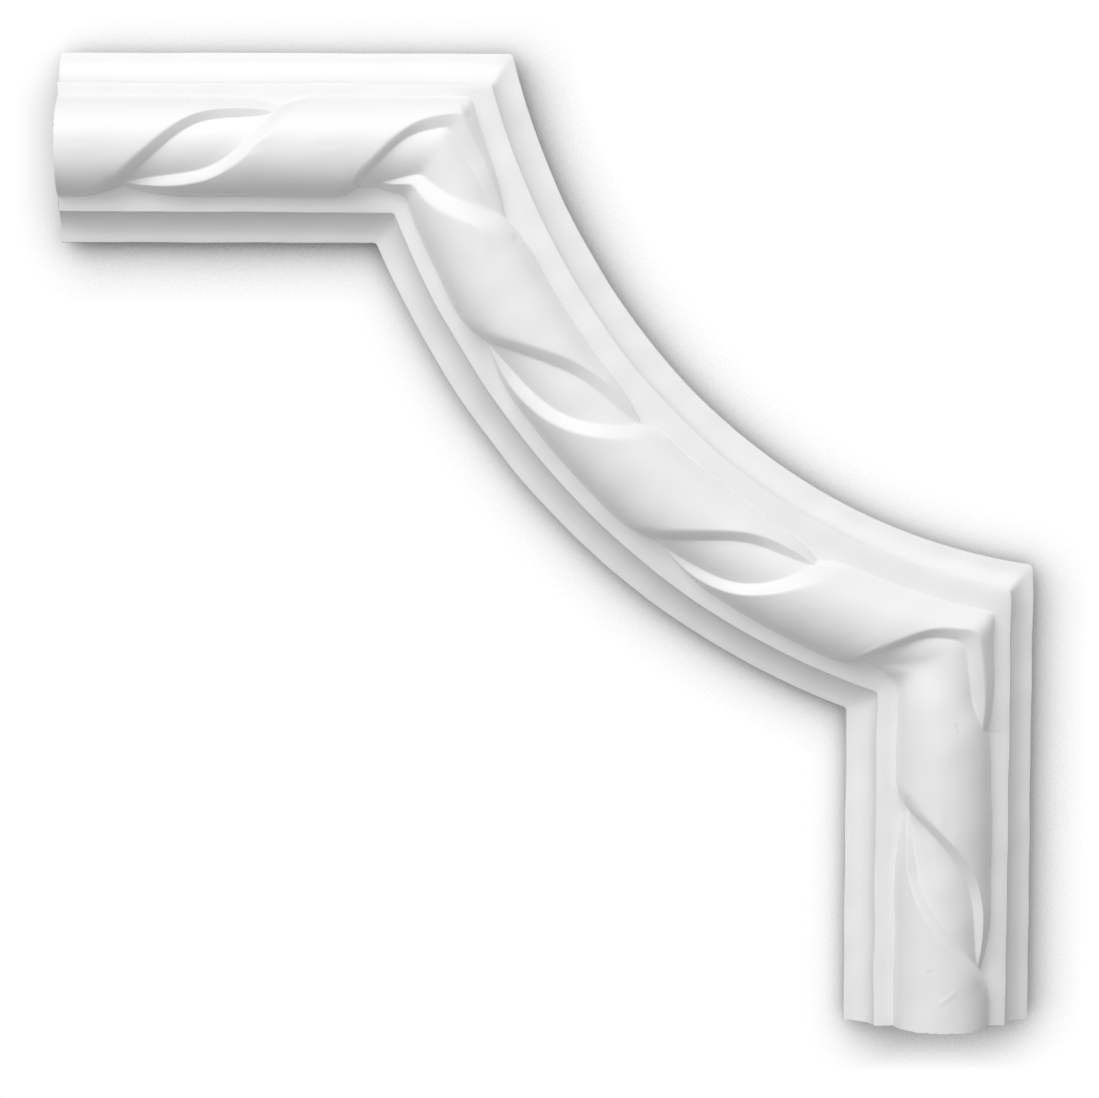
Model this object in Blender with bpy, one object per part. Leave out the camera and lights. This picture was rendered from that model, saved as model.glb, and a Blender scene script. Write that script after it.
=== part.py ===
# Corner ornament of a wall panel frame, cast as one piece.
# The moulding runs along the top, scoops inward in an arc at the corner and runs on
# down the side. Across its face it has a cove, a flat fillet, a half-round rod wound
# with a wide flat ribbon, a second fillet and a second cove. Its back is flat.
# X is to the right on the wall and Z is up. The wall is the plane Y = 0 and the
# front faces -Y. The origin is on the back, half way along the arc.

import math

import bmesh
import bpy

# Overall sizes, in metres
SIDE_LENGTH = 0.250
FACE_WIDTH = 0.0482
EDGE_THICKNESS = 0.0018
FILLET_HEIGHT = 0.0085
TOTAL_THICKNESS = 0.0190

# The scooped arc. Its centre lies outside the frame, by CENTRE_OFFSET beyond both
# outer lines. Towards the top leg the arc flattens out: its radius grows by
# FLATTENING at the level of its centre, from nothing at FLATTENING_ANGLE below it.
ARC_RADIUS = 0.1542
CENTRE_OFFSET = 0.0220
FLATTENING = 0.0065
FLATTENING_ANGLE = math.radians(42)

# Distances from the outer edge, across the face, at which the outer cove ends, the rod
# begins, the rod ends and the inner cove begins. The casting varies along its run.
FACE_LINES = {
    "top": (0.0079, 0.0112, 0.0367, 0.0405),
    "arc": (0.0072, 0.0131, 0.0372, 0.0411),
    "side": (0.0067, 0.0109, 0.0360, 0.0411),
}
STRETCHES = ("top", "arc", "side")

# The rod is an arc a little short of a half circle: its centre lies below the fillets
# by this share of its half width.
ROD_SINK = 0.21
ROD_BEND = math.hypot(1.0, ROD_SINK)
ROD_HALF_TURN = math.asin(1.0 / ROD_BEND)

# The ribbon winds round the rod and leaves a lens of bare rod between its turns. Its
# edge is a slope that falls to the rod over EDGE_SLOPE round it.
RIBBON_THICKNESS = 0.0025
EDGE_SLOPE = math.radians(15.5)

# A turn begins in a pointed tip on the rod's flank, TIP_RISE nearer the crest than
# EDGE_LOW of the half width, which its edge sinks to over TIP_LENGTH. The edge then bends
# and climbs across to the other flank. Meanwhile the turn's foot runs down the flank by
# FOOT_TURN, until the turn reaches the fillet. A turn ends as it begins, after half a turn
# about the lens. Distances are from the lens's place: "tip" is how far before it the turn
# begins, "foot" the length over which the foot runs down, "delay" how far past the lens's
# place the climb begins, "bend" the length of the bend and "climb" the share of the half
# width crossed in each metre.
EDGE_LOW = -0.87
TIP_RISE = 0.08
TIP_LENGTH = 0.010
TIP_BLUNTNESS = 0.003
FOOT_TURN = math.radians(21)
PLAIN_EDGE = {"tip": 0.019, "foot": 0.011, "delay": 0.0, "bend": 0.004, "climb": 75.0}
CORNER_BEGINNING = {
    "tip": 0.008, "foot": 0.016, "delay": 0.0025, "bend": 0.003, "climb": 51.5,
}
CORNER_END = {"tip": 0.029, "foot": 0.016, "delay": 0.0087, "bend": 0.004, "climb": 160.0}

# Places of the lenses away from the corners: of the turn that ends and of the turn that
# begins. On a leg they are distances from the meeting point of the two outer lines, and
# on the arc angles below its centre.
LEG_LENSES = {"top": (0.2126, 0.2132), "side": (0.2138, 0.2146)}
ARC_LENSES = (
    (math.radians(35.9), math.radians(37.6)),
    (math.radians(55.9), math.radians(57.2)),
)

# How finely the surface is divided
COVE_STEPS = 6
ROD_STEPS = 20
ROD_STEP = 2 * ROD_HALF_TURN / ROD_STEPS
MOST_SETTLING = 0.46
SPANS = {"top": 6, "arc": 32, "side": 6}
ROD_STEPS_PER_SPAN = {"top": 9, "arc": 4, "side": 9}

# The meeting point of the two outer lines, seen from the origin
MIDDLE_RADIUS = ARC_RADIUS + FACE_WIDTH / 2
CORNER = MIDDLE_RADIUS * math.cos(math.pi / 4) - CENTRE_OFFSET
ARC_CENTRE = CORNER + CENTRE_OFFSET


def clear_scene():
    for item in list(bpy.data.objects):
        bpy.data.objects.remove(item, do_unlink=True)


def smooth_step(value):
    value = min(max(value, 0.0), 1.0)
    return value * value * (3.0 - 2.0 * value)


# Plan of the frame: legs, arc and mitres

def arc_radius(angle, offset):
    """Radius at an angle below the arc's centre, for a line at an offset across the face."""
    flat = max(0.0, 1.0 - angle / FLATTENING_ANGLE)
    return ARC_RADIUS + offset + FLATTENING * flat * flat


def mitre_angle(leg, leg_offset, arc_offset):
    """Angle at which a line of the arc meets its line on the top or the side leg."""
    reach = CENTRE_OFFSET + leg_offset
    low, high = 0.0, math.pi / 4
    for _ in range(40):
        turn = (low + high) / 2
        angle = turn if leg == "top" else math.pi / 2 - turn
        if arc_radius(angle, arc_offset) * math.sin(turn) < reach:
            low = turn
        else:
            high = turn
    return angle


def arc_point(angle, offset):
    radius = arc_radius(angle, offset)
    return ARC_CENTRE - radius * math.cos(angle), ARC_CENTRE - radius * math.sin(angle)


def plan_point(stretch, share, offsets):
    """X and Z at a share of the way along a stretch, for a line with three offsets."""
    first = mitre_angle("top", offsets["top"], offsets["arc"])
    last = mitre_angle("side", offsets["side"], offsets["arc"])
    if stretch == "arc":
        return arc_point(first + share * (last - first), offsets["arc"])
    if stretch == "top":
        end = CORNER - SIDE_LENGTH
        mitre = arc_point(first, offsets["arc"])[0]
        return end + share * (mitre - end), CORNER - offsets["top"]
    end = CORNER - SIDE_LENGTH
    mitre = arc_point(last, offsets["arc"])[1]
    return CORNER - offsets["side"], mitre + share * (end - mitre)


def turns_nearby(stretch, share, offsets):
    """The turns that end and begin near a point: its distance past each, and their edges."""
    first = mitre_angle("top", offsets["top"], offsets["arc"])
    last = mitre_angle("side", offsets["side"], offsets["arc"])
    x, z = plan_point(stretch, share, offsets)
    if stretch == "arc":
        angle = first + share * (last - first)
        radius = ARC_RADIUS + offsets["arc"]
        corners = [(angle - first) * radius, (angle - last) * radius]
        places = [[(angle - place) * MIDDLE_RADIUS for place in lens] for lens in ARC_LENSES]
    elif stretch == "top":
        corners = [x - arc_point(first, offsets["arc"])[0]]
        places = [[x - (CORNER - place) for place in LEG_LENSES["top"]]]
    else:
        corners = [arc_point(last, offsets["arc"])[1] - z]
        places = [[(CORNER - place) - z for place in LEG_LENSES["side"]]]
    turns = [(place, place, CORNER_END, CORNER_BEGINNING) for place in corners]
    return turns + [(end, beginning, PLAIN_EDGE, PLAIN_EDGE) for end, beginning in places]


# The ribbon

def edge_turn(distance, edge):
    """Angle round the rod of a turn's edge, at a distance past the lens's place."""
    climb = edge["bend"] * math.log1p(math.exp((distance - edge["delay"]) / edge["bend"]))
    from_tip = min(max(distance + edge["tip"], 0.0) / TIP_LENGTH, 1.0)
    across = EDGE_LOW + edge["climb"] * climb + TIP_RISE * (1.0 - from_tip) ** 2
    return math.asin(min(across, ROD_BEND) / ROD_BEND)


def turn_cover(distance, angle, edge):
    """How much of the ribbon's thickness a turn that begins has at a point."""
    from_tip = distance + edge["tip"]
    top = edge_turn(distance, edge)
    foot = edge_turn(-edge["tip"], edge) - FOOT_TURN * from_tip / edge["foot"]
    cover = smooth_step(1.0 + (top - angle) / EDGE_SLOPE)
    cover *= smooth_step(1.0 + (angle - foot) / EDGE_SLOPE)
    return cover * smooth_step(1.0 + from_tip / TIP_BLUNTNESS)


def ribbon_cover(turns, angle):
    covers = []
    for past_end, past_beginning, end, beginning in turns:
        following = turn_cover(past_beginning, angle, beginning)
        leading = turn_cover(-past_end, -angle, end)
        covers.append(max(following, leading))
    return min(covers)


def settle_on_edge(turns, angle):
    """Moves a line of the rod's surface onto the nearest edge of the ribbon, if one is near."""
    edges = []
    for past_end, past_beginning, end, beginning in turns:
        following = edge_turn(past_beginning, beginning)
        leading = -edge_turn(-past_end, end)
        edges += [following, following + EDGE_SLOPE, leading, leading - EDGE_SLOPE]
    shift = min((edge - angle for edge in edges), key=abs)
    at_foot = abs(angle) > ROD_HALF_TURN - ROD_STEP / 2
    if at_foot or abs(shift) > ROD_STEP / 2:
        return angle
    limit = MOST_SETTLING * ROD_STEP
    return angle + min(max(shift, -limit), limit)


# Points on the moulding's face

def vertex(mesh, place, height):
    return mesh.verts.new((place[0], -height, place[1]))


def cove_line(step, outer):
    """Offsets and height of a line along a cove: flat at the edge, steep at the fillet."""
    angle = math.pi / 2 * step / COVE_STEPS
    height = EDGE_THICKNESS + (FILLET_HEIGHT - EDGE_THICKNESS) * (1.0 - math.cos(angle))
    offsets = {}
    for name in STRETCHES:
        width = FACE_LINES[name][0] if outer else FACE_WIDTH - FACE_LINES[name][3]
        across = width * math.sin(angle)
        offsets[name] = across if outer else FACE_WIDTH - across
    return offsets, height


def rod_offsets(angle, loss):
    """Offsets of a rod line at an angle round the rod, with part of the ribbon missing."""
    offsets = {}
    for name in STRETCHES:
        start, end = FACE_LINES[name][1:3]
        half_width = (end - start) / 2
        across = (ROD_BEND - loss / half_width) * math.sin(angle)
        offsets[name] = (start + end) / 2 - half_width * across
    return offsets


def rod_point(mesh, stretch, share, angle):
    turns = turns_nearby(stretch, share, rod_offsets(angle, 0.0))
    angle = settle_on_edge(turns, angle)
    loss = RIBBON_THICKNESS * (1.0 - ribbon_cover(turns, angle))
    start, end = FACE_LINES[stretch][1:3]
    bend = ROD_BEND - loss / ((end - start) / 2)
    rise = max(0.0, (bend * math.cos(angle) - ROD_SINK) / (ROD_BEND - ROD_SINK))
    height = FILLET_HEIGHT + (TOTAL_THICKNESS - FILLET_HEIGHT) * rise
    return vertex(mesh, plan_point(stretch, share, rod_offsets(angle, loss)), height)


def stations(fine):
    """Places along the run, as a stretch and a share of it. A mitre is listed once."""
    places = []
    for name in STRETCHES:
        count = SPANS[name] * (ROD_STEPS_PER_SPAN[name] if fine else 1)
        first = 0 if name == "top" else 1
        places += [(name, step / count) for step in range(first, count + 1)]
    return places


def add_line(mesh, offsets, height):
    places = stations(fine=False)
    return [vertex(mesh, plan_point(name, share, offsets), height) for name, share in places]


def add_side(mesh, outer):
    """The lines of one side, from the back edge up over the cove to the fillet."""
    back = dict.fromkeys(STRETCHES, 0.0 if outer else FACE_WIDTH)
    lines = [add_line(mesh, back, 0.0)]
    for step in range(COVE_STEPS + 1):
        lines.append(add_line(mesh, *cove_line(step, outer)))
    return lines


def add_rod(mesh):
    lines = []
    for step in range(ROD_STEPS + 1):
        angle = ROD_HALF_TURN - step * ROD_STEP
        lines.append([rod_point(mesh, name, share, angle) for name, share in stations(fine=True)])
    return lines


# Faces

def bridge(mesh, lines):
    for near, far in zip(lines, lines[1:]):
        for index in range(len(near) - 1):
            mesh.faces.new((near[index], near[index + 1], far[index + 1], far[index]))


def bridge_rod(mesh, lines):
    """Triangles whose long sides lie along the ribbon's edges, so that these stay crisp."""
    for near, far in zip(lines, lines[1:]):
        for index in range(len(near) - 1):
            mesh.faces.new((near[index], near[index + 1], far[index]))
            mesh.faces.new((near[index + 1], far[index + 1], far[index]))


def fill_fillet(mesh, edge_line, rod_line):
    """Flat faces between the fillet's edge and the more finely divided foot of the rod."""
    counts = [ROD_STEPS_PER_SPAN[name] for name in STRETCHES for _ in range(SPANS[name])]
    start = 0
    for index, count in enumerate(counts):
        foot = rod_line[start:start + count + 1]
        mesh.faces.new([edge_line[index + 1], edge_line[index]] + foot)
        start += count


def build_moulding():
    mesh = bmesh.new()
    outer = add_side(mesh, outer=True)
    inner = add_side(mesh, outer=False)
    rod = add_rod(mesh)
    bridge(mesh, outer)
    bridge(mesh, inner)
    bridge_rod(mesh, rod)
    fill_fillet(mesh, outer[-1], rod[0])
    fill_fillet(mesh, inner[-1], rod[-1])
    bridge(mesh, [inner[0], outer[0]])
    for end in (0, -1):
        mesh.faces.new([line[end] for line in outer + rod + inner[::-1]])
    bmesh.ops.recalc_face_normals(mesh, faces=mesh.faces)
    data = bpy.data.meshes.new("corner_moulding")
    mesh.to_mesh(data)
    mesh.free()
    data.shade_smooth()
    data.set_sharp_from_angle(angle=math.radians(32))
    return data


def white_casting():
    material = bpy.data.materials.new("white_casting")
    material.use_nodes = True
    shader = material.node_tree.nodes["Principled BSDF"]
    shader.inputs["Base Color"].default_value = (0.86, 0.86, 0.85, 1.0)
    shader.inputs["Roughness"].default_value = 0.55
    shader.inputs["Metallic"].default_value = 0.0
    return material


def main():
    clear_scene()
    group = bpy.data.collections.new("corner_ornament")
    bpy.context.scene.collection.children.link(group)
    moulding = bpy.data.objects.new("corner_moulding", build_moulding())
    moulding.data.materials.append(white_casting())
    group.objects.link(moulding)


main()
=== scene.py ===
import math

import bpy
import numpy as np
from mathutils import Matrix, Vector


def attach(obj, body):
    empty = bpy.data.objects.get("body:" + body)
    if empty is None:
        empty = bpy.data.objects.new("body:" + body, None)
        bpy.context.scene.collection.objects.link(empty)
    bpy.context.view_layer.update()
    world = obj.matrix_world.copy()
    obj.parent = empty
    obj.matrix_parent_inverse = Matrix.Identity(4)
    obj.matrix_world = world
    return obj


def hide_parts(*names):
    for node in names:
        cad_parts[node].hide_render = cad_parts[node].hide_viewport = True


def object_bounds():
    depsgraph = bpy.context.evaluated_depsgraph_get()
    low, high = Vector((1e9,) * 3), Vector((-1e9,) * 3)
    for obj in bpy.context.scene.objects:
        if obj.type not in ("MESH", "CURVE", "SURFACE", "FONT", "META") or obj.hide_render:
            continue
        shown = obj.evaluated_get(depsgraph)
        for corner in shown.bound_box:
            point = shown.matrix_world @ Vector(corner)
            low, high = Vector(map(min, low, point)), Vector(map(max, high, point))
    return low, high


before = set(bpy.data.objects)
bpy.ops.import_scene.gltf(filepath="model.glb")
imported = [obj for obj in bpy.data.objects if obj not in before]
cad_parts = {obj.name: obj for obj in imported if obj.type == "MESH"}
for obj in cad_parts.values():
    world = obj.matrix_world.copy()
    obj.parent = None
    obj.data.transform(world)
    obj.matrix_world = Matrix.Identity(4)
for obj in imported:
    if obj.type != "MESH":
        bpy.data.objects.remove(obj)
cadLow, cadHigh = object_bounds()
print("frame loaded, box", tuple(cadLow), tuple(cadHigh))

# The moulding's plan and section, in metres. The run goes along the top, round the
# scooped arc and down the side, and offsets are measured from the outer edge inwards.
moulding = {
    "sideLength": cadHigh.x - cadLow.x,
    "thickness": cadHigh.y - cadLow.y,
    "corner": cadHigh.x,            # where the two outer lines would meet
    "faceWidth": 0.0482,
    "edgeThickness": 0.0018,
    "filletHeight": 0.0085,
    "arcRadius": 0.1542,            # of the outer edge
    "centreOffset": 0.0220,         # the arc's centre lies this far past both outer lines
    "flattening": 0.0065,           # the arc opens out towards the top leg
    "flatteningAngle": math.radians(42),
    "faceLines": {                  # cove ends, rod begins, rod ends, cove begins
        "top": (0.0079, 0.0112, 0.0367, 0.0405),
        "arc": (0.0072, 0.0131, 0.0372, 0.0411),
        "side": (0.0067, 0.0109, 0.0360, 0.0411),
    },
    "rodSink": 0.21,                # the rod's centre is this share of its half width below
    "arris": 0.0004,                # how round the sharp corners of the section are
    "cornerSoftening": (4, 5),      # passes that take the sharpness off the mitres
    "rodSoftening": (10, 26),       # and off the rod there
    "endRaggedness": 0.00014,
    "endSeed": 4,
    "unevenness": 0.00007,          # height of the casting's slight waves
    "waveLengths": (0.007, 0.030),
    "waveCount": 14,
    "waveSeed": 11,
    "crease": math.radians(40),     # edges that bend more than this are shaded sharp
}

# How finely the skin is divided: places along each stretch, and lines across
fineness = {
    "top": 165,
    "arc": 400,
    "side": 165,
    "nearLens": 7.0,                # so many times finer where bare rod shows
    "lensReach": 0.030,             # out to this far from the lens's middle
    "pastMitre": 0.010,             # a corner's lens has its middle about here
    "rodLines": 104,
    "crowding": 0.45,               # how many more lines gather round an edge of the ribbon
    "edgeMargin": math.radians(2),  # they spread this far beyond the edge's slope,
    "edgeReach": math.radians(12),  # and at most this far from its middle
    "edgeFades": (0.008, 0.012),    # lengths over which they gather and part again
    "edgeGone": 1.15,               # the level at which the edge has left the rod
    "coveLines": 8,
    "arrisLines": 2,
    "filletLines": 2,
    "samples": {"along": 4001, "across": 721},      # from which the places are read off
    "halvings": {"mitre": 36, "contact": 24},       # steps of the two searches
    "joining": 0.00001,             # points closer than this are one
}

# The ribbon wound round the rod, with a lens of bare rod between its turns. The edge of a
# turn that begins runs level at "low" of the rod's half width, then bends and climbs across,
# "climb" of the half width in each metre. The turn starts as a point, "tip" before the
# edge's place, and its edge slopes down to the rod over the width of its "wall". A turn that
# ends is the same thing after half a turn. Places are metres from the outer corner on a leg,
# angles on the arc and metres past the mitre at a corner. "drift" is a slow climb that sets
# in "driftFrom" before the edge's place.
ribbon = {
    "thickness": 0.0025,
    "wedge": 0.016,                 # a turn rises to its thickness over this length
    "softness": 0.12,               # how round a turn's edge is, as a share of its wall
    "shoulder": 0.85,               # from this level on, the rod is taken to slope evenly
    "flare": 0.6,                   # how much wider the wall gets at the fillet
    "flareFrom": 0.5,
    "leastSlope": math.radians(2.5),    # a wall never takes up less of the rod than this
    "driftBend": 0.004,
    "farBends": 30.0,               # an edge runs straight, so many bends from its place
    "top": [(
        {"place": 0.2164, "low": -0.76, "bend": 0.0033, "climb": 72,
         "tip": 0.0249, "wall": 0.0026},
        {"place": 0.2059, "low": -0.84, "bend": 0.0059, "climb": 100,
         "tip": 0.0276, "wall": 0.0031},
    )],
    "arc": [(
        {"place": math.radians(34.9), "low": -0.91, "bend": 0.0066, "climb": 90,
         "tip": 0.0257, "wall": 0.0032},
        {"place": math.radians(39.4), "low": -0.93, "bend": 0.0066, "climb": 108,
         "tip": 0.0278, "wall": 0.0034},
    ), (
        {"place": math.radians(55.2), "low": -0.78, "bend": 0.0055, "climb": 79,
         "tip": 0.0236, "wall": 0.0028},
        {"place": math.radians(58.4), "low": -0.96, "bend": 0.0052, "climb": 96,
         "tip": 0.0227, "wall": 0.0030},
    )],
    "side": [(
        {"place": 0.2079, "low": -0.81, "bend": 0.0050, "climb": 88,
         "tip": 0.0271, "wall": 0.0024},
        {"place": 0.2178, "low": -0.86, "bend": 0.0055, "climb": 80,
         "tip": 0.0253, "wall": 0.0024},
    )],
    "corners": [(
        {"place": -0.0158, "low": -0.90, "bend": 0.0022, "climb": 800,
         "tip": 0.0463, "wall": 0.0036, "drift": 12, "driftFrom": 0.033},
        {"place": 0.0046, "low": -0.86, "bend": 0.0055, "climb": 55,
         "tip": 0.0129, "wall": 0.0034},
    ), (
        {"place": -0.0164, "low": -0.77, "bend": 0.0024, "climb": 900,
         "tip": 0.0504, "wall": 0.0037, "drift": 10, "driftFrom": 0.033},
        {"place": 0.0035, "low": -1.05, "bend": 0.0070, "climb": 57,
         "tip": 0.0120, "wall": 0.0070, "softness": 0.5},
    )],
}

stretches = ("top", "arc", "side")
rodBend = math.hypot(1.0, moulding["rodSink"])      # the rod's radius in half widths
rodHalfTurn = math.asin(1.0 / rodBend)
arcCentre = moulding["corner"] + moulding["centreOffset"]
middleRadius = moulding["arcRadius"] + sum(moulding["faceLines"]["arc"][1:3]) / 2


# Plan

def arcRadiusAt(angle, offset):
    flat = np.maximum(0.0, 1.0 - angle / moulding["flatteningAngle"])
    return moulding["arcRadius"] + offset + moulding["flattening"] * flat ** 2


# Angles at which the lines of the arc meet their lines on the top and the side leg
def mitreAngles(offsets):
    angles = []
    for leg in ("top", "side"):
        reach = moulding["centreOffset"] + offsets[leg]
        low = np.zeros_like(reach)
        high = low + math.pi / 4
        for _ in range(fineness["halvings"]["mitre"]):
            turn = (low + high) / 2
            angle = turn if leg == "top" else math.pi / 2 - turn
            short = arcRadiusAt(angle, offsets["arc"]) * np.sin(turn) < reach
            low = np.where(short, turn, low)
            high = np.where(short, high, turn)
        angles.append(angle)
    return angles


def arcPlace(angle, offset):
    radius = arcRadiusAt(angle, offset)
    return arcCentre - radius * np.cos(angle), arcCentre - radius * np.sin(angle)


# X and Z of points at a share of the way along a stretch
def planPlace(stretch, share, offsets):
    first, last = mitreAngles(offsets)
    end = moulding["corner"] - moulding["sideLength"]
    if stretch == "arc":
        return arcPlace(first + share * (last - first), offsets["arc"])
    if stretch == "top":
        x = end + share * (arcPlace(first, offsets["arc"])[0] - end)
        return x, moulding["corner"] - offsets["top"] + 0 * x
    mitre = arcPlace(last, offsets["arc"])[1]
    z = mitre + share * (end - mitre)
    return moulding["corner"] - offsets["side"] + 0 * z, z


# Ribbon

# Rises from 0 to 1, straight in the middle and rounded at both ends
def softRamp(value, soft):

    def bent(x):
        return np.where(np.abs(x) < soft, (x + soft) ** 2 / (4 * soft), np.maximum(x, 0.0))

    return np.clip(bent(value) - bent(value - 1.0), 0.0, 1.0)


# Level at first, then bends into an even slope round 0
def softSlope(distance, slope, bend):
    return slope * bend * np.logaddexp(0.0, distance / bend)


# The two turns at each lens near the points: how far past its edge's place each point is,
# which way round the turn is (-1 for one that ends), and the edge
def turnsNearby(stretch, share, offsets):
    first, last = mitreAngles(offsets)
    x, z = planPlace(stretch, share, offsets)
    corner = moulding["corner"]
    if stretch == "arc":
        angle = first + share * (last - first)
        radius = moulding["arcRadius"] + offsets["arc"]
        mitres = [(0, (angle - first) * radius), (1, (angle - last) * radius)]
    elif stretch == "top":
        mitres = [(0, x - arcPlace(first, offsets["arc"])[0])]
    else:
        mitres = [(1, arcPlace(last, offsets["arc"])[1] - z)]
    turns = []
    for which, past in mitres:
        for side, edge in zip((-1, 1), ribbon["corners"][which]):
            turns.append((side * (past - edge["place"]), side, edge))
    for lens in ribbon[stretch]:
        for side, edge in zip((-1, 1), lens):
            if stretch == "arc":
                past = (angle - edge["place"]) * middleRadius
            elif stretch == "top":
                past = x - corner + edge["place"]
            else:
                past = corner - z - edge["place"]
            turns.append((side * past, side, edge))
    return turns


# Angle round the rod of a place across it, going on evenly past the rod's shoulder
def angleAcross(across, radius):
    share = across / radius
    within = np.clip(share, -ribbon["shoulder"], ribbon["shoulder"])
    return np.arcsin(within) + (share - within) / math.sqrt(1.0 - ribbon["shoulder"] ** 2)


# A turn's thickness as a share of the ribbon's, and the angles round the rod at which its
# sloping edge starts and reaches the bare rod
def turnEdge(distance, edge, half):
    bend, climb = edge["bend"], edge["climb"]
    level = edge["low"] + softSlope(distance, climb, bend)
    if "drift" in edge:
        level = level + softSlope(distance + edge["driftFrom"], edge["drift"], ribbon["driftBend"])
    bends = np.clip(distance / bend, -ribbon["farBends"], ribbon["farBends"])
    steepness = climb * half / (1.0 + np.exp(-bends))
    fromTip = np.clip((distance + edge["tip"]) / ribbon["wedge"], 0.0, 1.0)
    thickness = 1.0 - (1.0 - fromTip) ** 2
    width = edge["wall"] / half * np.hypot(1.0, steepness)
    nearFillet = np.clip((level - ribbon["flareFrom"]) / (1.0 - ribbon["flareFrom"]), 0.0, 1.0)
    flare = width * ribbon["flare"] * nearFillet ** 2
    depth = ribbon["thickness"] / half
    top = level + width / 2 * (1.0 - thickness) - flare / 2
    foot = top + width * thickness + flare
    topAngle = angleAcross(top, rodBend - depth * (1.0 - thickness))
    footAngle = angleAcross(foot, rodBend - depth)
    return thickness, topAngle, np.maximum(footAngle, topAngle + ribbon["leastSlope"])


# Angles round the rod for every station, gathered round the ribbon's edges
def rodAngles(stretch, share, half, contacts):
    grid = np.linspace(0.0, 1.0, fineness["samples"]["across"])[None, :]
    angle = contacts[0] + (contacts[1] - contacts[0]) * grid
    crowd = fineness["rodLines"] * np.ones_like(angle)
    extra = fineness["crowding"] * fineness["rodLines"] * 2 * rodHalfTurn
    gather, part = fineness["edgeFades"]
    for distance, side, edge in turnsNearby(stretch, share, rodOffsets(rodBend * np.sin(angle))):
        topAngle, footAngle = turnEdge(distance, edge, half)[1:]
        middle = np.minimum((topAngle + footAngle) / 2, rodHalfTurn)
        reach = (footAngle - topAngle) / 2 + fineness["edgeMargin"]
        reach = np.minimum(reach, fineness["edgeReach"])
        across = (fineness["edgeGone"] - edge["low"]) / edge["climb"]
        seen = np.clip((distance + edge["tip"]) / gather + 1.0, 0.0, 1.0)
        seen = seen * np.clip(1.0 - (distance - across) / part, 0.0, 1.0)
        bump = np.exp(-((side * angle - middle) / reach) ** 2) / (reach * math.sqrt(math.pi))
        crowd += extra * seen * bump
    total = np.cumsum((crowd[:, 1:] + crowd[:, :-1]) / 2, axis=1)
    total = np.pad(total, ((0, 0), (1, 0)))
    steps = np.linspace(0.0, 1.0, fineness["rodLines"] + 1)
    rows = [np.interp(steps * row[-1], row, turn) for row, turn in zip(total, angle)]
    return np.array(rows)[:, ::-1]


# Angles round the rod at which it meets the fillets, the inner one first
def contactAngles(stretch, share, half):
    contacts = []
    for side in (-1, 1):
        angle = rodHalfTurn + 0 * share
        for _ in range(fineness["halvings"]["contact"]):
            turns = turnsNearby(stretch, share, rodOffsets(side * rodBend * np.sin(angle)))
            contact = np.arccos(moulding["rodSink"] / ribbonRadius(turns, side * angle, half))
            angle = (angle + contact) / 2
        contacts.append(side * angle)
    return contacts


# Radius of the rod with its ribbon at these angles, as a share of the half width
def ribbonRadius(turns, angle, half):
    depth = ribbon["thickness"] / half
    cover = 1.0
    for leading, following in zip(turns[0::2], turns[1::2]):
        lens = 0.0
        for distance, side, edge in (leading, following):
            thickness, topAngle, footAngle = turnEdge(distance, edge, half)
            softness = edge.get("softness", ribbon["softness"])
            down = softRamp((side * angle - topAngle) / (footAngle - topAngle), softness)
            lens = np.maximum(lens, thickness * (1.0 - down))
        cover = np.minimum(cover, lens)
    return rodBend - depth * (1.0 - cover)


# Section

# Offsets and heights from the back edge up over the cove and the fillet to the rod
def sideRows(outer):
    arris = moulding["arris"]
    edge, fillet = moulding["edgeThickness"], moulding["filletHeight"]
    quarter = np.linspace(0.0, math.pi / 2, fineness["arrisLines"] + 1)
    cove = np.linspace(0.0, math.pi / 2, fineness["coveLines"] + 1)[1:]
    heights = np.concatenate([
        [0.0],
        edge - arris + arris * np.sin(quarter),
        edge + (fillet - arris - edge) * (1.0 - np.cos(cove)),
        fillet - arris + arris * np.sin(quarter[1:]),
    ])
    offsets = {}
    for name in stretches:
        lines = moulding["faceLines"][name]
        width = lines[0] if outer else moulding["faceWidth"] - lines[3]
        across = np.concatenate([
            [0.0],
            arris * (1.0 - np.cos(quarter)),
            arris + (width - arris) * np.sin(cove),
            width + arris * (1.0 - np.cos(quarter[1:])),
        ])
        offsets[name] = across if outer else moulding["faceWidth"] - across
    return offsets, heights


def rodOffsets(across):
    offsets = {}
    for name in stretches:
        start, end = moulding["faceLines"][name][1:3]
        offsets[name] = (start + end) / 2 - (end - start) / 2 * across
    return offsets


# X, Z and height of the rod's lines, with the ribbon cut back where bare rod shows
def rodRows(stretch, share, contacts):
    start, end = moulding["faceLines"][stretch][1:3]
    half = (end - start) / 2
    sink = moulding["rodSink"]
    angle = rodAngles(stretch, share, half, contacts)
    turns = turnsNearby(stretch, share, rodOffsets(rodBend * np.sin(angle)))
    radius = np.maximum(ribbonRadius(turns, angle, half), sink / np.cos(angle))
    rise = (radius * np.cos(angle) - sink) / (rodBend - sink)
    height = moulding["filletHeight"] + (moulding["thickness"] - moulding["filletHeight"]) * rise
    x, z = planPlace(stretch, share, rodOffsets(radius * np.sin(angle)))
    return x, z, height


# Places along the run

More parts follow.
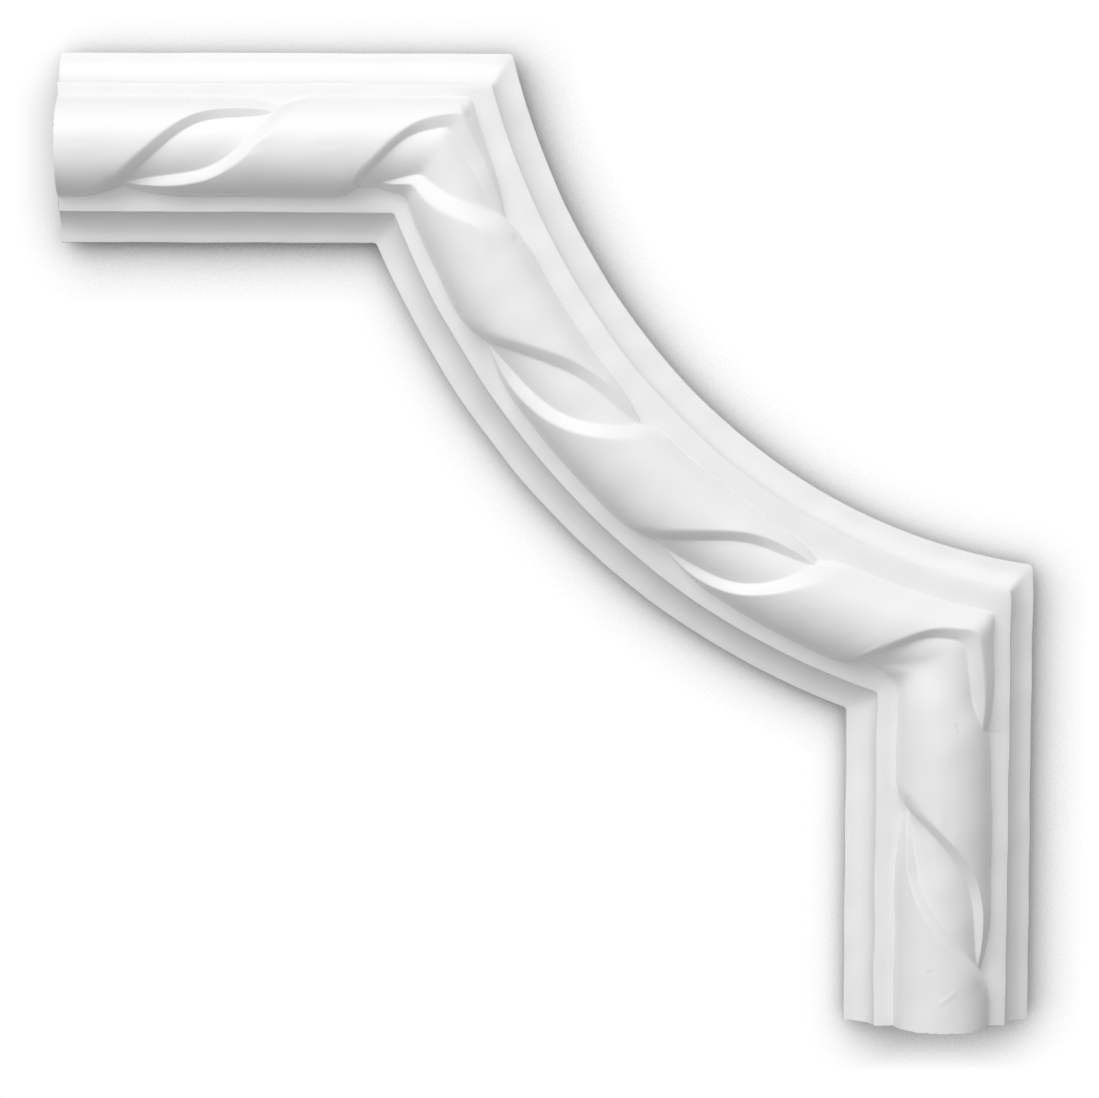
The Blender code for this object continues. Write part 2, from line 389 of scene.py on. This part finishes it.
# Shares of a stretch, closer together round the lenses
def sharesAlong(stretch, length, lensPlaces):
    fine = np.linspace(0.0, 1.0, fineness["samples"]["along"])
    near = np.zeros_like(fine)
    for place in lensPlaces:
        away = (fine * length - place) / fineness["lensReach"]
        near = np.maximum(near, np.exp(-(away ** 4)))
    density = 1.0 + (fineness["nearLens"] - 1.0) * near
    total = np.concatenate([[0.0], np.cumsum((density[1:] + density[:-1]) / 2)])
    return np.interp(np.linspace(0.0, total[-1], fineness[stretch] + 1), total, fine)


# The shares of each stretch, with a mitre listed once
def runShares():
    middle = {name: np.array(moulding["faceWidth"] / 2) for name in stretches}
    first, last = mitreAngles(middle)
    end = moulding["corner"] - moulding["sideLength"]
    topLength = arcPlace(first, middle["arc"])[0] - end
    arcLength = (last - first) * middleRadius
    sideLength = arcPlace(last, middle["arc"])[1] - end
    lenses = {
        name: [(ends["place"] + begins["place"]) / 2 for ends, begins in ribbon[name]]
        for name in stretches
    }
    topLens = moulding["sideLength"] - lenses["top"][0]
    arcLenses = [(place - first) * middleRadius for place in lenses["arc"]]
    sideLens = sideLength - (moulding["sideLength"] - lenses["side"][0])
    pastMitre = fineness["pastMitre"]
    return {
        "top": sharesAlong("top", topLength, [topLens, topLength]),
        "arc": sharesAlong("arc", arcLength, [pastMitre, *arcLenses, arcLength])[1:],
        "side": sharesAlong("side", sideLength, [pastMitre, sideLens])[1:],
    }


# The place of every point of the skin: stations along the run by lines across it
def skinPlaces():
    outer, heights = sideRows(outer=True)
    inner = sideRows(outer=False)[0]
    flat = np.linspace(0.0, 1.0, fineness["filletLines"] + 1)[None, 1:-1]
    heights = np.append(heights, [moulding["filletHeight"]] * flat.size)
    parts = []
    for stretch, shares in runShares().items():
        share = shares[:, None]
        start, end = moulding["faceLines"][stretch][1:3]
        contacts = contactAngles(stretch, share, (end - start) / 2)
        blocks = []
        for offsets, contact in ((outer, contacts[1]), (inner, contacts[0])):
            rodFoot = rodOffsets(moulding["rodSink"] * np.tan(contact))
            spread = {}
            for name in stretches:
                face = offsets[name][None, :] + 0 * share
                fillet = face[:, -1:] + (rodFoot[name] - face[:, -1:]) * flat
                spread[name] = np.concatenate([face, fillet], axis=1)
            x, z = planPlace(stretch, share, spread)
            blocks.append(np.stack([x, -heights[None, :] + 0 * x, z], axis=-1))
        x, z, height = rodRows(stretch, share, contacts)
        rod = np.stack([x, -height, z], axis=-1)
        lines = [blocks[0], rod, blocks[1][:, ::-1], blocks[0][:, :1]]
        parts.append(np.concatenate(lines, axis=1))
    return np.concatenate(parts)


# Takes the sharpness off both mitres, as the mould and the primer do
def softenMitres(places):
    rodStart = (places.shape[1] - fineness["rodLines"]) // 2
    rod = slice(rodStart, rodStart + fineness["rodLines"])
    softened = ((slice(None), moulding["cornerSoftening"]), (rod, moulding["rodSoftening"]))
    for which, mitre in enumerate((fineness["top"], fineness["top"] + fineness["arc"])):
        for lines, passes in softened:
            for reach in range(passes[which], 0, -1):
                near = places[mitre - reach - 1:mitre + reach + 2, lines]
                near[1:-1] = (near[:-2] + 2 * near[1:-1] + near[2:]) / 4
    return places


# Slight waves all over, as a casting has, kept inside the solid's box
def unevenSkin(places):
    dice = np.random.default_rng(moulding["waveSeed"])
    waves = np.zeros_like(places)
    for _ in range(moulding["waveCount"]):
        direction = dice.normal(size=3)
        length = dice.uniform(*moulding["waveLengths"])
        direction *= 2 * math.pi / length / np.linalg.norm(direction)
        lift = dice.normal(size=3) * moulding["unevenness"] / 2
        phase = dice.uniform(0, 2 * math.pi)
        waves += np.sin(places @ direction + phase)[..., None] * lift
    onFront = np.clip(-places[..., 1:2] / moulding["edgeThickness"], 0.0, 1.0)
    return np.clip(places + waves * onFront, tuple(cadLow), tuple(cadHigh))


# The two sawn ends aren't perfectly straight
def raggedEnds(places):
    dice = np.random.default_rng(moulding["endSeed"])
    for station, axis in ((0, 0), (-1, 2)):
        places[station, :, axis] = moulding["corner"] - moulding["sideLength"]
        rough = np.abs(dice.normal(0.0, moulding["endRaggedness"], places.shape[1]))
        rough[-1] = rough[0]
        places[station, :, axis] += (rough + np.roll(rough, 1)) / 2
    return places


# Mesh work

def deselectAll():
    bpy.ops.object.select_all(action="DESELECT")


# Selects points of a mesh by a test on their places, and goes to edit mode
def selectPoints(piece, wanted):
    bpy.ops.object.mode_set(mode="OBJECT")
    mesh = piece.data
    places = np.empty(len(mesh.vertices) * 3)
    mesh.vertices.foreach_get("co", places)
    chosen = wanted(places.reshape(-1, 3))
    mesh.polygons.foreach_set("select", np.zeros(len(mesh.polygons), bool))
    mesh.edges.foreach_set("select", np.zeros(len(mesh.edges), bool))
    mesh.vertices.foreach_set("select", chosen)
    bpy.ops.object.mode_set(mode="EDIT")
    bpy.ops.mesh.select_mode(type="VERT")


# Lays the flat grid over the moulding, point by point
def wrapSkin(piece, places):
    stations, lines = places.shape[:2]
    flat = np.empty(len(piece.data.vertices) * 3)
    piece.data.vertices.foreach_get("co", flat)
    flat = flat.reshape(-1, 3)
    station = np.rint((flat[:, 0] + 0.5) * (stations - 1)).astype(int)
    line = np.rint((flat[:, 1] + 0.5) * (lines - 1)).astype(int)
    piece.data.vertices.foreach_set("co", places[station, line].ravel())
    piece.data.update()


def makeMoulding():
    places = raggedEnds(unevenSkin(softenMitres(skinPlaces())))
    places[:, -1] = places[:, 0]                        # the last line is the first again
    stations, lines = places.shape[:2]
    deselectAll()
    bpy.ops.mesh.primitive_grid_add(
        x_subdivisions=stations - 1, y_subdivisions=lines - 1, size=1)
    piece = bpy.context.object
    piece.name = "carvedMoulding"
    wrapSkin(piece, places)
    joining = fineness["joining"]
    bpy.ops.object.mode_set(mode="EDIT")
    bpy.ops.mesh.select_all(action="SELECT")
    bpy.ops.mesh.remove_doubles(threshold=joining)      # the back's two rims meet
    leftEnd = places[0, :, 0].max() + joining
    lowerEnd = places[-1, :, 2].max() + joining
    for wanted in (lambda at: at[:, 0] < leftEnd, lambda at: at[:, 2] < lowerEnd):
        selectPoints(piece, wanted)
        bpy.ops.mesh.edge_face_add()
    bpy.ops.mesh.select_all(action="SELECT")
    bpy.ops.mesh.normals_make_consistent(inside=False)
    bpy.ops.object.mode_set(mode="OBJECT")
    bpy.ops.object.shade_smooth_by_angle(angle=moulding["crease"])
    return piece


# Nodes

# Sets an input to a value, or links it to another node's output
def setInput(tree, slot, value):
    if isinstance(value, bpy.types.NodeSocket):
        tree.links.new(value, slot)
    else:
        slot.default_value = value


# A node with its inputs set, by name or by number
def addNode(tree, kind, inputs, operation=None):
    node = tree.nodes.new(kind)
    if operation:
        node.operation = operation
    for slot, value in inputs.items():
        setInput(tree, node.inputs[slot], value)
    return node


def useGroup(tree, group, inputs):
    node = tree.nodes.new("ShaderNodeGroup")
    node.node_tree = group
    for slot, value in inputs.items():
        setInput(tree, node.inputs[slot], value)
    return node


def compute(tree, operation, *values):
    return addNode(tree, "ShaderNodeMath", dict(enumerate(values)), operation).outputs[0]


# All the outputs of a vector sum, of which the first is the vector
def computeVector(tree, operation, *values):
    return addNode(tree, "ShaderNodeVectorMath", dict(enumerate(values)), operation).outputs


# Takes a value from one range to another
def remap(tree, value, start, end, startResult, endResult):
    return addNode(tree, "ShaderNodeMapRange", {
        "Value": value, "From Min": start, "From Max": end,
        "To Min": startResult, "To Max": endResult,
    }).outputs["Result"]


# A blend of two colours. A Mix node has other inputs of the same names, for other kinds.
def mixColours(tree, factor, first, second):
    mix = tree.nodes.new("ShaderNodeMix")
    mix.data_type = "RGBA"
    setInput(tree, mix.inputs["Factor"], factor)
    colours = [slot for slot in mix.inputs if slot.type == "RGBA"]
    for slot, colour in zip(colours, (first, second)):
        setInput(tree, slot, colour)
    return next(slot for slot in mix.outputs if slot.type == "RGBA")


# A node group, the sockets that it is given, and those that it makes
def newGroup(name, inputs, outputs):
    tree = bpy.data.node_groups.new(name, "ShaderNodeTree")
    for direction, sockets in (("INPUT", inputs), ("OUTPUT", outputs)):
        for label, kind in sockets.items():
            tree.interface.new_socket(
                name=label, in_out=direction, socket_type="NodeSocket" + kind)
    return tree, tree.nodes.new("NodeGroupInput").outputs, tree.nodes.new("NodeGroupOutput").inputs


# Finish

casting = {
    "colour": (0.862, 0.862, 0.860, 1.0),
    "thinColour": (0.835, 0.836, 0.838, 1.0),   # where the primer is thinner
    "roughness": (0.44, 0.58),
    "roughnessSpan": (0.3, 0.7),    # of the mottle, over which the roughness changes
    "grainSize": 0.0007,
    "grainHeight": 0.006,           # heights in millimetres
    "grainDetail": 2.0,
    "mottleSize": 0.012,
    "mottleHeight": 0.07,
    "mottleDetail": 4.0,
    "pinholeSpacing": 0.0045,
    "pinholeSize": 0.00022,
    "pinholeDepth": 0.05,
    "pinholesLeftOut": 0.72,        # the share of places that have none
    # painted shade for the pinholes and dented marks, darker than the casting
    "hollowShadeColour": (0.74, 0.74, 0.735, 1.0),
    "hollowShadeStrength": 0.5,            # how far pinholes and dented marks take on that colour: they are real hollows, and this darker colour in them is painted shade
    "heightUnit": 0.001,            # a millimetre
}

# The photo's marks: where each starts and ends, right of and above the outer corner, how
# wide it is, and its height in millimetres
marks = {
    "sideLegDent": {
        "start": (-0.0283, -0.2340), "end": (-0.0276, -0.2337), "width": 0.0008, "height": -0.05},
    "sideLegScratch": {
        "start": (-0.0248, -0.2420), "end": (-0.0216, -0.2394), "width": 0.0011, "height": 0.10},
    "sideLegCurl": {
        "start": (-0.0218, -0.1702), "end": (-0.0211, -0.1721), "width": 0.0008, "height": -0.10},
    "filletLine": {
        "start": (-0.0131, -0.1729), "end": (-0.0092, -0.1729), "width": 0.0004, "height": -0.03},
    "contactNick": {
        "start": (-0.1495, -0.0643), "end": (-0.1483, -0.0656), "width": 0.0007, "height": -0.14},
    "arcTipPit": {
        "start": (-0.1347, -0.0463), "end": (-0.1344, -0.0471), "width": 0.0012, "height": -0.09},
    "topLegPit": {
        "start": (-0.2173, -0.0115), "end": (-0.2170, -0.0115), "width": 0.0004, "height": -0.10},
    "cornerRub": {
        "start": (-0.1476, -0.0138), "end": (-0.1462, -0.0160), "width": 0.0012, "height": -0.12},
}


# Fine grain of the primer and the slow mottle under it
def grainGroup():
    tree, given, made = newGroup(
        "castGrain",
        {"Vector": "Vector", "Grain Size": "Float", "Mottle Size": "Float"},
        {"Grain": "Float", "Mottle": "Float"})
    for name, detail in (("Grain", casting["grainDetail"]), ("Mottle", casting["mottleDetail"])):
        scale = compute(tree, "DIVIDE", 1.0, given[name + " Size"])
        noise = addNode(tree, "ShaderNodeTexNoise", {
            "Vector": given["Vector"], "Scale": scale, "Detail": detail})
        tree.links.new(noise.outputs["Fac"], made[name])
    return tree


# Scattered pinholes left by air in the mould
def pinholeGroup():
    tree, given, made = newGroup(
        "pinholes",
        {"Vector": "Vector", "Spacing": "Float", "Size": "Float"},
        {"Mask": "Float"})
    scale = compute(tree, "DIVIDE", 1.0, given["Spacing"])
    cells = addNode(tree, "ShaderNodeTexVoronoi", {"Vector": given["Vector"], "Scale": scale})
    away = compute(tree, "MULTIPLY", cells.outputs["Distance"], given["Spacing"])
    hole = remap(tree, away, 0.0, given["Size"], 1.0, 0.0)
    chance = addNode(tree, "ShaderNodeSeparateColor", {"Color": cells.outputs["Color"]})
    few = compute(tree, "GREATER_THAN", chance.outputs[0], casting["pinholesLeftOut"])
    tree.links.new(compute(tree, "MULTIPLY", hole, few), made["Mask"])
    return tree


# A soft mark along a line between two places, seen from the front
def markGroup():
    tree, given, made = newGroup(
        "handlingMark",
        {"Vector": "Vector", "Start": "Vector", "End": "Vector", "Width": "Float"},
        {"Mask": "Float"})
    place = computeVector(tree, "MULTIPLY", given["Vector"], (1.0, 0.0, 1.0))[0]
    fromStart = computeVector(tree, "SUBTRACT", place, given["Start"])[0]
    line = computeVector(tree, "SUBTRACT", given["End"], given["Start"])[0]
    along = computeVector(tree, "DOT_PRODUCT", fromStart, line)["Value"]
    whole = computeVector(tree, "DOT_PRODUCT", line, line)["Value"]
    share = compute(tree, "DIVIDE", along, whole)
    share.node.use_clamp = True
    nearest = addNode(tree, "ShaderNodeVectorMath", {0: line, "Scale": share}, "SCALE").outputs[0]
    away = computeVector(tree, "DISTANCE", fromStart, nearest)["Value"]
    mask = remap(tree, away, 0.0, given["Width"], 1.0, 0.0)
    mask.node.interpolation_type = "SMOOTHSTEP"
    tree.links.new(mask, made["Mask"])
    return tree


def whiteCasting():
    material = bpy.data.materials.new("whiteCasting")
    material.use_nodes = True
    tree = material.node_tree
    shader = tree.nodes["Principled BSDF"]
    place = tree.nodes.new("ShaderNodeTexCoord").outputs["Object"]
    grain = useGroup(tree, grainGroup(), {
        "Vector": place, "Grain Size": casting["grainSize"], "Mottle Size": casting["mottleSize"]})
    holes = useGroup(tree, pinholeGroup(), {
        "Vector": place, "Spacing": casting["pinholeSpacing"], "Size": casting["pinholeSize"]})
    mottle = grain.outputs["Mottle"]

    height = compute(tree, "MULTIPLY", mottle, casting["mottleHeight"])
    height = compute(tree, "MULTIPLY_ADD", grain.outputs["Grain"], casting["grainHeight"], height)
    shadedHollows = holes.outputs["Mask"]
    height = compute(tree, "MULTIPLY_ADD", shadedHollows, -casting["pinholeDepth"], height)
    corner = moulding["corner"]
    group = markGroup()
    for name, mark in marks.items():
        start, end = [
            (corner + right, 0.0, corner + up) for right, up in (mark["start"], mark["end"])]
        node = useGroup(tree, group, {
            "Vector": place, "Start": start, "End": end, "Width": mark["width"]})
        node.name = name
        mask = node.outputs["Mask"]
        height = compute(tree, "MULTIPLY_ADD", mask, mark["height"], height)
        # a dented mark is a hollow, so it also gets the painted shade
        if mark["height"] < 0:
            shadedHollows = compute(tree, "MAXIMUM", shadedHollows, mask)
    bump = addNode(tree, "ShaderNodeBump", {
        "Strength": 1.0, "Distance": casting["heightUnit"], "Height": height})
    tree.links.new(bump.outputs["Normal"], shader.inputs["Normal"])

    colour = mixColours(tree, mottle, casting["thinColour"], casting["colour"])
    # painted shade: the pinholes and dented marks are drawn darker, as if in shade
    amount = compute(tree, "MULTIPLY", shadedHollows, casting["hollowShadeStrength"])
    colour = mixColours(tree, amount, colour, casting["hollowShadeColour"])
    tree.links.new(colour, shader.inputs["Base Color"])
    rough = remap(tree, mottle, *casting["roughnessSpan"], *casting["roughness"])
    tree.links.new(rough, shader.inputs["Roughness"])
    return material


# Camera, light, wall and floor

camera = {
    "beyondCorner": (-0.14743, 0.93275, -0.04473),    # right, in front, up
    "turn": math.radians(-1.354),
    "tilt": math.radians(-5.023),
    "roll": math.radians(0.053),
    "lens": 118.87,                 # in millimetres, as the sensor's width
    "sensorWidth": 36.0,
}


def makeCamera():
    data = bpy.data.cameras.new("camera")
    data.sensor_width = camera["sensorWidth"]
    data.lens = camera["lens"]
    eye = bpy.data.objects.new("camera", data)
    bpy.context.scene.collection.objects.link(eye)
    right, front, up = camera["beyondCorner"]
    corner = moulding["corner"]
    upright = Matrix(((1, 0, 0), (0, 0, -1), (0, 1, 0)))
    aim = Matrix.Rotation(camera["roll"], 3, "Z") @ Matrix.Rotation(camera["tilt"], 3, "X")
    aim = aim @ Matrix.Rotation(camera["turn"], 3, "Y")
    place = Vector((corner + right, -front, corner + up))
    eye.matrix_world = Matrix.Translation(place) @ (upright @ aim).to_4x4()
    bpy.context.scene.camera = eye


lamps = {
    "overhead": {"place": (0.00, -1.11, 1.42), "size": 0.9, "power": 9.98},
    "upperLeft": {"place": (-1.00, -1.11, 1.00), "size": 0.9, "power": 9.53},
    "left": {"place": (-1.79, -0.19, 0.00), "size": 0.9, "power": 3.53},
    "topRight": {"place": (0.56, -0.08, 0.56), "size": 0.9, "power": 2.05},
    "upperFront": {"place": (0.00, -0.69, 0.40), "size": 0.9, "power": 1.71},
    "lowLeft": {"place": (-0.28, -0.69, -0.28), "size": 0.9, "power": 1.43},
}


def makeLamps():
    for name, lamp in lamps.items():
        data = bpy.data.lights.new(name, "AREA")
        data.energy = lamp["power"]
        data.size = lamp["size"]
        light = bpy.data.objects.new(name, data)
        bpy.context.scene.collection.objects.link(light)
        light.location = lamp["place"]
        light.rotation_euler = Vector(lamp["place"]).to_track_quat("Z", "Y").to_euler()


studio = {
    "white": (1.0, 1.0, 1.0, 1.0),
    "fill": 0.20,                   # light from all round
    "wallSize": 6.0,
    "wallPlace": (0.0, 0.004, 0.0),
    "shadowReach": 0.016,           # of the piece's soft shadow on the wall
    "shadowLean": (-0.5, -1.0, 0.5),
    "shadowSpan": (0.48, 1.0),      # how open the wall is, where darkest and where clear
    "shadowTones": (0.13, 1.01),    # its brightness at those two
    "shadowSamples": 4,
    "floorSize": 1.6,
    "floorPlace": (0.0, -0.8, -1.50),
    "floorColour": (0.80, 0.80, 0.79, 1.0),
    "floorRoughness": 0.7,
}


# The camera sees a white backdrop, and the piece is lit by a weaker light all round
def makeWorld():
    world = bpy.data.worlds.new("studio")
    bpy.context.scene.world = world
    world.use_nodes = True
    tree = world.node_tree
    soft = tree.nodes["Background"]
    soft.inputs["Color"].default_value = studio["white"]
    soft.inputs["Strength"].default_value = studio["fill"]
    seen = addNode(tree, "ShaderNodeBackground", {"Color": studio["white"]})
    rays = tree.nodes.new("ShaderNodeLightPath")
    mix = addNode(tree, "ShaderNodeMixShader", {
        0: rays.outputs["Is Camera Ray"], 1: soft.outputs[0], 2: seen.outputs[0]})
    tree.links.new(mix.outputs[0], tree.nodes["World Output"].inputs["Surface"])
    bpy.context.scene.view_settings.view_transform = "Standard"


# A plane with a material of its own, and that material's nodes
def addPlane(name, size, place, turn):
    deselectAll()
    bpy.ops.mesh.primitive_plane_add(size=size, location=place, rotation=turn)
    plane = bpy.context.object
    plane.name = name
    material = bpy.data.materials.new(name)
    material.use_nodes = True
    plane.data.materials.append(material)
    return plane, material.node_tree


# The wall behind the piece. Only the camera sees it, and only from the front, so that it
# takes the piece's soft shadow without lighting or hiding its back.
def paleWall():
    wall, tree = addPlane(
        "paleWall", studio["wallSize"], studio["wallPlace"], (math.pi / 2, 0.0, 0.0))
    tree.nodes.remove(tree.nodes["Principled BSDF"])
    lean = addNode(tree, "ShaderNodeCombineXYZ", dict(enumerate(studio["shadowLean"])))
    towards = computeVector(tree, "NORMALIZE", lean.outputs[0])[0]
    nearPiece = addNode(tree, "ShaderNodeAmbientOcclusion", {
        "Distance": studio["shadowReach"], "Normal": towards})
    nearPiece.samples = studio["shadowSamples"]
    tone = remap(tree, nearPiece.outputs["AO"], *studio["shadowSpan"], *studio["shadowTones"])
    glow = addNode(tree, "ShaderNodeEmission", {"Color": studio["white"], "Strength": tone})
    clear = addNode(tree, "ShaderNodeBsdfTransparent", {})
    rays = tree.nodes.new("ShaderNodeLightPath")
    side = tree.nodes.new("ShaderNodeNewGeometry")
    seen = compute(tree, "SUBTRACT", rays.outputs["Is Camera Ray"], side.outputs["Backfacing"])
    seen.node.use_clamp = True
    mix = addNode(tree, "ShaderNodeMixShader", {
        0: seen, 1: clear.outputs[0], 2: glow.outputs[0]})
    tree.links.new(mix.outputs[0], tree.nodes["Material Output"].inputs["Surface"])
    return wall


def paleFloor():
    floor, tree = addPlane(
        "paleFloor", studio["floorSize"], studio["floorPlace"], (0.0, 0.0, 0.0))
    shader = tree.nodes["Principled BSDF"]
    shader.inputs["Base Color"].default_value = studio["floorColour"]
    shader.inputs["Roughness"].default_value = studio["floorRoughness"]
    return floor


piece = makeMoulding()
piece.data.materials.append(whiteCasting())
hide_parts("corner_moulding")
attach(piece, "root")
print("moulding done,", len(piece.data.polygons), "faces")

makeCamera()
makeLamps()
makeWorld()
paleWall()
paleFloor()
print("camera, light, wall and floor done")
